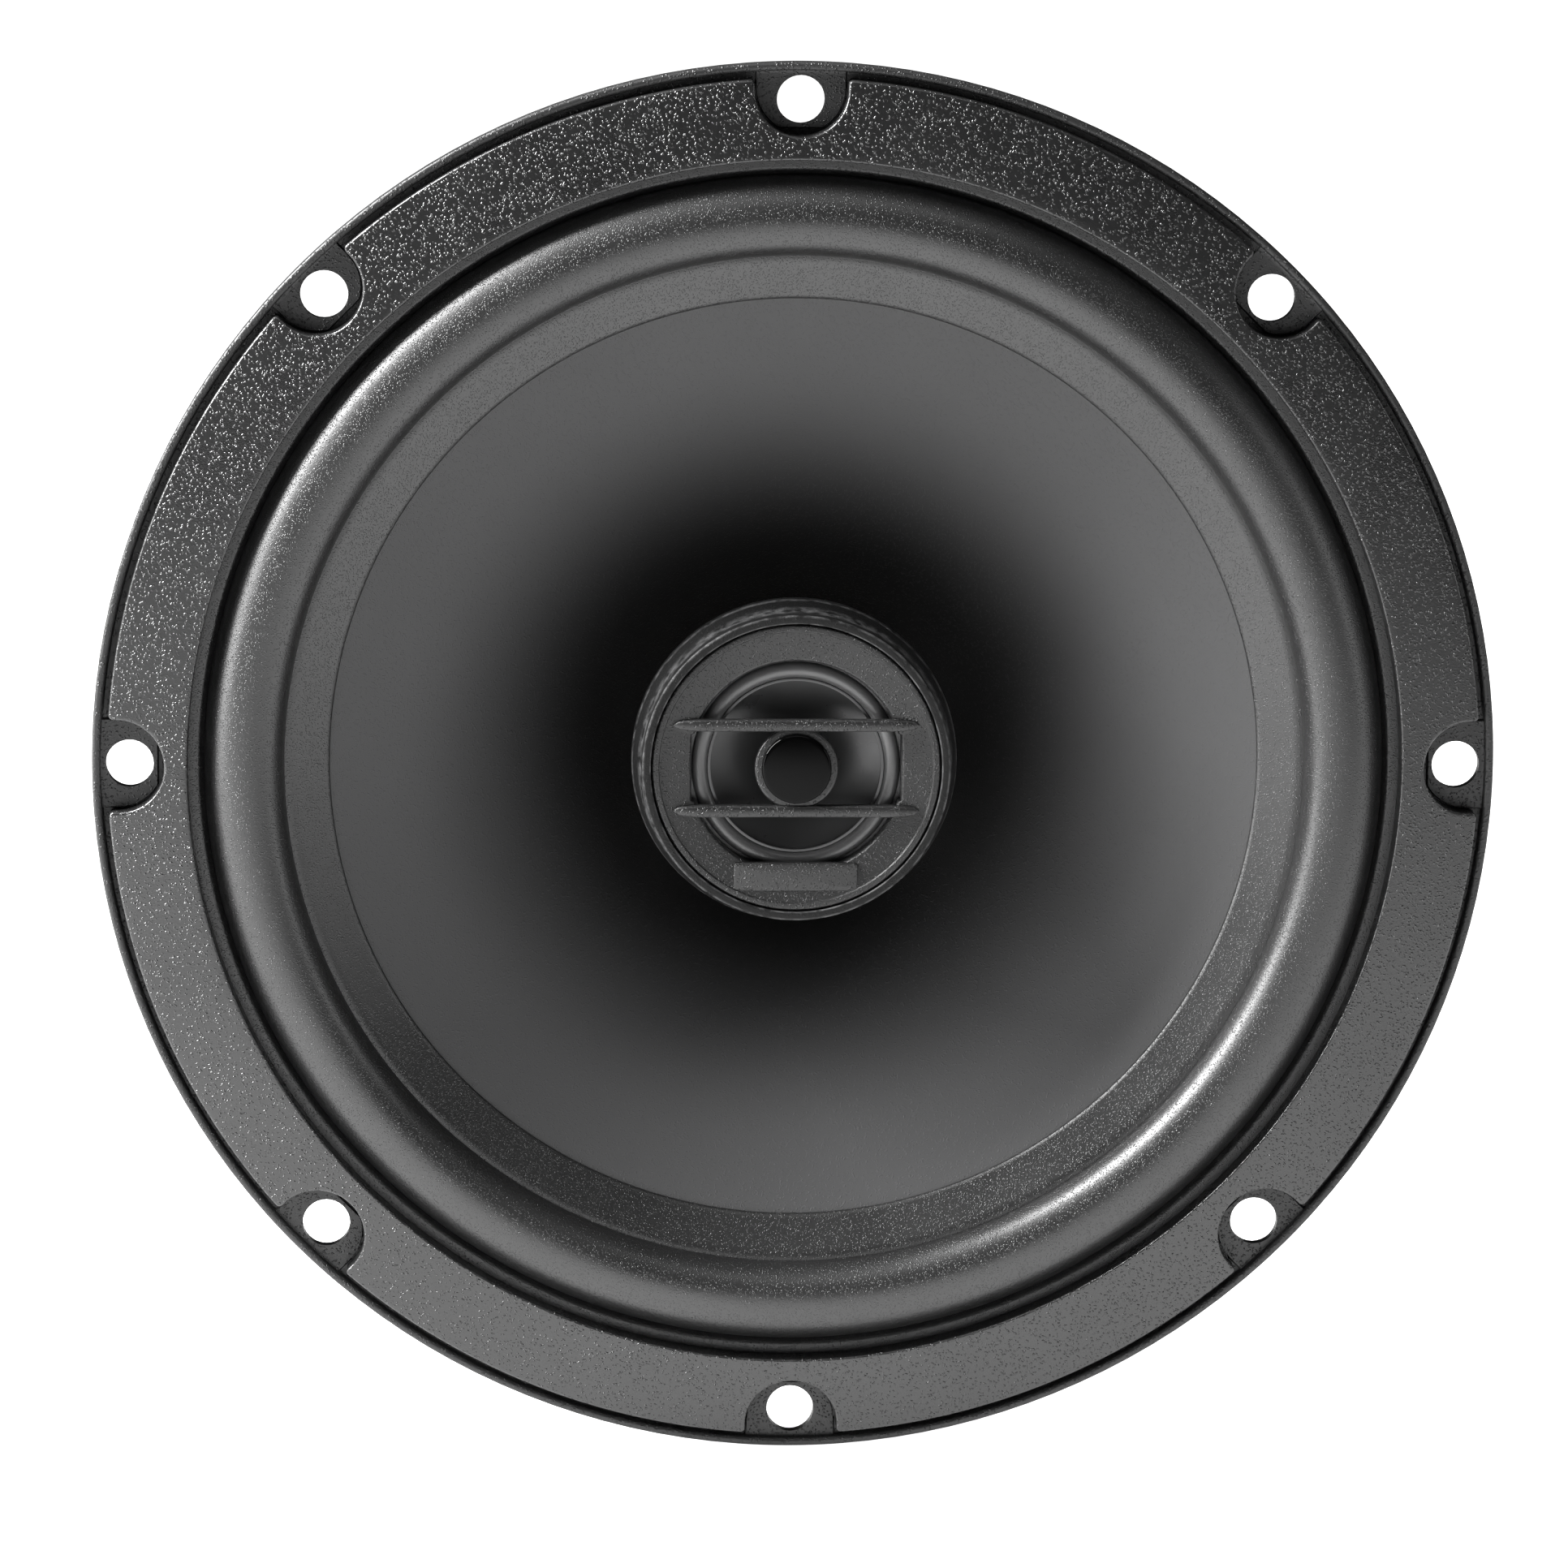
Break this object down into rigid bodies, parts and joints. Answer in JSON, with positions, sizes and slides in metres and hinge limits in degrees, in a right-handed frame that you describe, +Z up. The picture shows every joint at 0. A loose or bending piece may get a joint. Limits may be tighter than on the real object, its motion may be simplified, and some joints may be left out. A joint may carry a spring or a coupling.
{
  "type": "coaxial car speaker",
  "caption": "Round two-way coaxial speaker for a vehicle door: steel basket, trim ring, rubber-edged cone, ferrite motor and a tweeter on a central post.",
  "frame": {"origin": "centre of the mounting flange's rear face, on the speaker's axis", "axes": "the speaker stands upright as in a door: the front faces -Y, +Y runs back along the axis to the magnet, +Z is up and +X is to the right seen from the front"},
  "size_m": [0.165, 0.067, 0.165],
  "materials": {
    "black_steel": "satin black powder paint over pressed steel",
    "trim_plastic": "charcoal plastic with a coarse leather grain",
    "surround_rubber": "smooth satin rubber",
    "spider_cloth": "resin-treated pleated cotton",
    "cone_paper": "satin dark grey coated cone",
    "former_foil": "thin foil former",
    "copper_wire": "enamelled copper winding",
    "zinc_steel": "bright zinc plated steel",
    "ferrite": "sintered dark grey ferrite",
    "nickel_magnet": "nickel plated neodymium",
    "tweeter_plastic": "fine spark-eroded dark grey plastic",
    "gloss_black": "polished black",
    "dome_metal": "dark anodised metal",
    "tweeter_rubber": "satin rubber",
    "board_laminate": "brown paper laminate",
    "tinned_brass": "tin plated brass",
    "capacitor_sleeve": "dark blue shrink sleeve",
    "red_wire": "red insulated wire",
    "black_wire": "black insulated wire",
    "tinsel_braid": "braided copper tinsel"
  },
  "bodies": {
    "root": {"basket": "black_steel", "trim_ring": "trim_plastic", "surround": "surround_rubber", "spider": "spider_cloth", "top_plate": "zinc_steel", "magnet": "ferrite", "yoke": "zinc_steel", "motor_rivet_1": "zinc_steel", "motor_rivet_2": "zinc_steel", "motor_rivet_3": "zinc_steel", "motor_rivet_4": "zinc_steel", "tweeter_post": "tweeter_plastic", "post_washer": "zinc_steel", "post_nut": "zinc_steel", "tweeter_housing": "tweeter_plastic", "tweeter_mounting_ring": "tweeter_plastic", "tweeter_yoke": "zinc_steel", "tweeter_magnet": "nickel_magnet", "tweeter_pole_plate": "zinc_steel", "tweeter_surround": "tweeter_rubber", "tweeter_faceplate": "tweeter_plastic", "badge_disc": "gloss_black", "terminal_board": "board_laminate", "terminal_positive": "tinned_brass", "terminal_negative": "tinned_brass", "terminal_rivet_positive": "tinned_brass", "terminal_rivet_negative": "tinned_brass", "board_rivet_positive": "zinc_steel", "board_rivet_negative": "zinc_steel", "tinsel_lead_positive": "tinsel_braid", "tinsel_lead_negative": "tinsel_braid", "capacitor": "capacitor_sleeve", "tweeter_wire_feed": "red_wire", "tweeter_wire_return": "black_wire"},
    "woofer": {"cone": "cone_paper", "voice_coil_former": "former_foil", "voice_coil": "copper_wire"},
    "tweeter": {"tweeter_dome": "dome_metal", "tweeter_voice_coil": "copper_wire"}
  },
  "joints": [
    {"name": "woofer_excursion", "type": "slide", "parent": "root", "child": "woofer", "axis": [0, -1, 0], "range_m": [-0.004, 0.004], "stiffness_N_per_m": 1500, "deforming": ["surround", "spider", "tinsel_lead_positive", "tinsel_lead_negative"]},
    {"name": "tweeter_excursion", "type": "slide", "parent": "root", "child": "tweeter", "axis": [0, -1, 0], "range_m": [-0.0003, 0.0003], "stiffness_N_per_m": 2000, "deforming": ["tweeter_surround"]}
  ]
}
